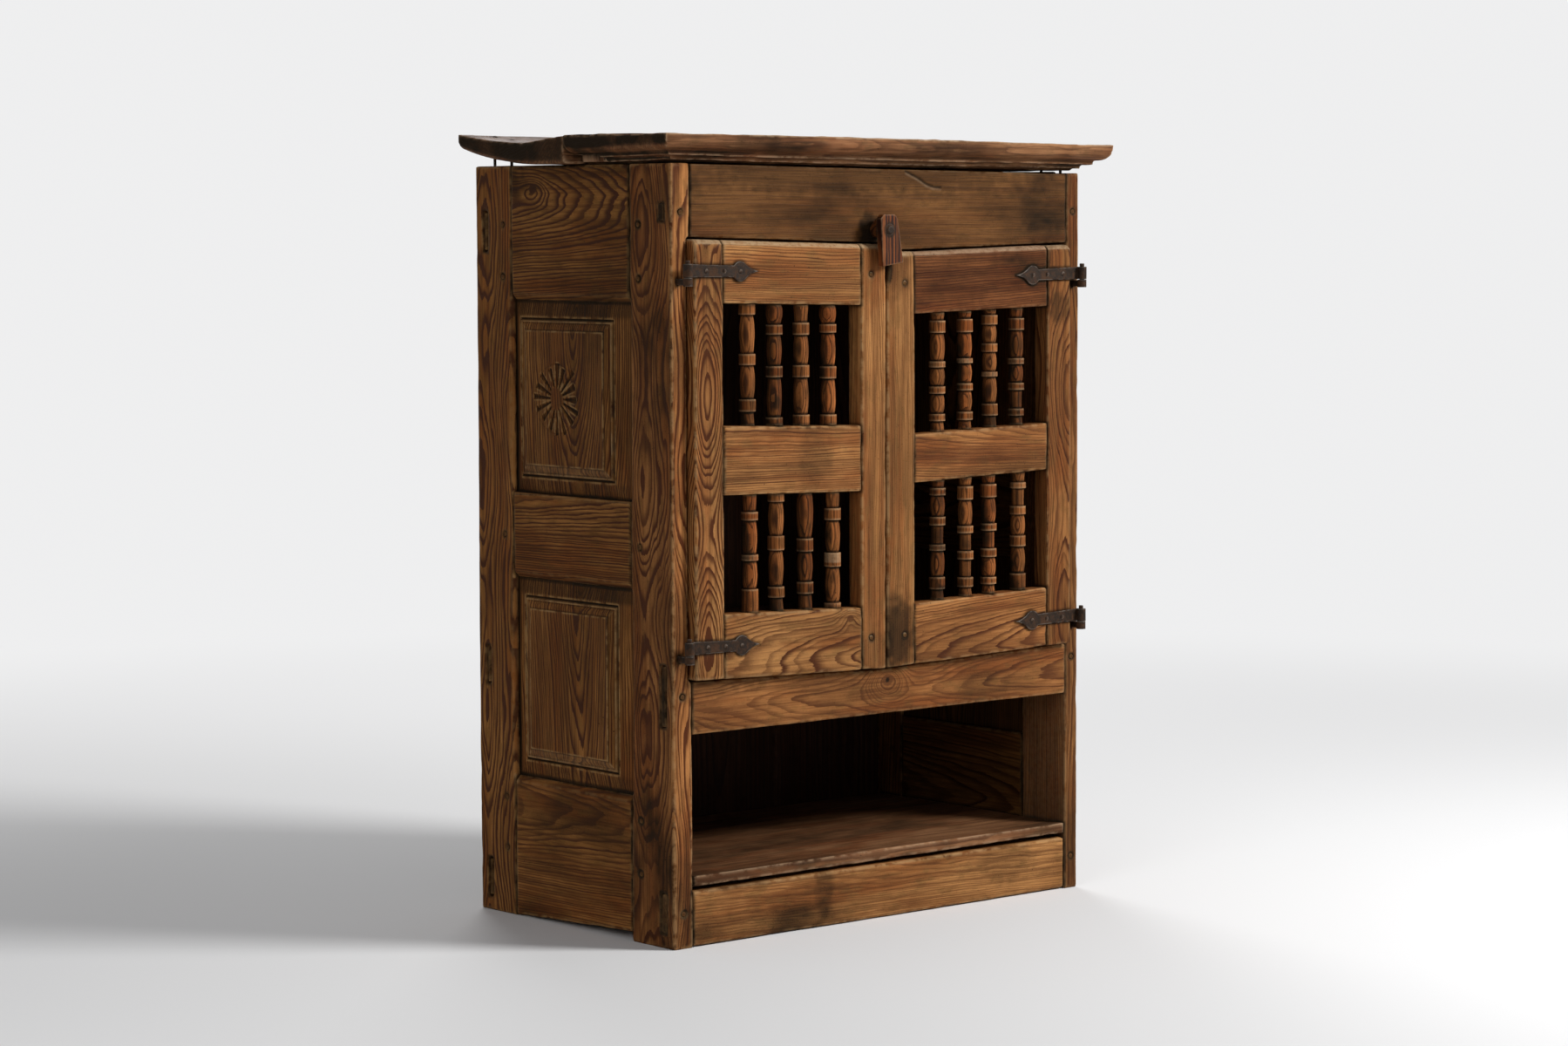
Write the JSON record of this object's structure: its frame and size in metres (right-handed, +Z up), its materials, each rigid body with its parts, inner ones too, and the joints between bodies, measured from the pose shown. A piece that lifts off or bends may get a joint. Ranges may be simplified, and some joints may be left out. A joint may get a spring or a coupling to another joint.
{
  "type": "trastero cabinet",
  "caption": "Free-standing pegged pine cupboard with spindled strap-hinged doors, a wooden turn button, an open shelf below and a moulded top.",
  "frame": {"origin": "middle of the whole object's base, on the floor", "axes": "+X to the right of someone who faces the doors, +Y to the back, +Z up"},
  "size_m": [0.8814, 0.504, 1.1668],
  "materials": {
    "carcass_frame": "waxed old pine with dark latewood and worn arrises",
    "door_frames": "waxed old pine, honey to red-brown, with knots",
    "side_panels": "waxed old pine with a darker patina in its mouldings",
    "top_boards": "dry, worn old pine",
    "inner_boards": "dark, dry old pine",
    "spindles": "turned wood, dark with age, polished on the collars",
    "button": "dark striped pine, polished by hands",
    "pegs": "dark end grain",
    "iron": "forged iron with a brown patina"
  },
  "bodies": {
    "carcass": {"back_planks_lower": "inner_boards", "back_planks_upper": "inner_boards", "back_rail_low": "inner_boards", "back_rail_mid": "inner_boards", "back_rail_top": "inner_boards", "cupboard_floor": "inner_boards", "frame_pegs": "pegs", "front_rail_low": "carcass_frame", "front_rail_mid": "carcass_frame", "front_rail_top": "carcass_frame", "lower_shelf": "inner_boards", "pintle_left_lower": "iron", "pintle_left_upper": "iron", "pintle_right_lower": "iron", "pintle_right_upper": "iron", "post_front_left": "carcass_frame", "post_front_right": "carcass_frame", "post_rear_left": "carcass_frame", "post_rear_right": "carcass_frame", "shelf_cleat_left": "inner_boards", "shelf_cleat_right": "inner_boards", "side_panel_lower_left": "side_panels", "side_panel_lower_right": "side_panels", "side_panel_upper_left": "side_panels", "side_panel_upper_right": "side_panels", "side_rail_low_left": "carcass_frame", "side_rail_low_right": "carcass_frame", "side_rail_mid_left": "carcass_frame", "side_rail_mid_right": "carcass_frame", "side_rail_top_left": "carcass_frame", "side_rail_top_right": "carcass_frame", "top_board_front": "top_boards", "top_board_rear": "top_boards", "top_nails": "iron"},
    "left_door": {"left_door_hinge_stile": "door_frames", "left_door_low_rail": "door_frames", "left_door_meeting_stile": "door_frames", "left_door_mid_rail": "door_frames", "left_door_pegs": "pegs", "left_door_top_rail": "door_frames", "left_spindles_lower": "spindles", "left_spindles_upper": "spindles", "left_strap_nails": "iron", "strap_left_lower": "iron", "strap_left_upper": "iron"},
    "right_door": {"right_door_hinge_stile": "door_frames", "right_door_low_rail": "door_frames", "right_door_meeting_stile": "door_frames", "right_door_mid_rail": "door_frames", "right_door_pegs": "pegs", "right_door_top_rail": "door_frames", "right_spindles_lower": "spindles", "right_spindles_upper": "spindles", "right_strap_nails": "iron", "strap_right_lower": "iron", "strap_right_upper": "iron"},
    "turn_button": {"turn_button_bar": "button", "turn_button_nail": "iron", "turn_button_pin": "button", "turn_button_shank": "button"}
  },
  "joints": [
    {"name": "left_door_hinge", "type": "hinge", "parent": "carcass", "child": "left_door", "pos_m": [-0.389, -0.236, 0.7], "axis": [0, 0, -1], "range_deg": [0, 180]},
    {"name": "right_door_hinge", "type": "hinge", "parent": "carcass", "child": "right_door", "pos_m": [0.389, -0.236, 0.7], "axis": [0, 0, 1], "range_deg": [0, 180]},
    {"name": "button_turn", "type": "hinge", "parent": "carcass", "child": "turn_button", "pos_m": [-0.017, -0.215, 1.024], "axis": [0, -1, 0], "continuous": true}
  ]
}
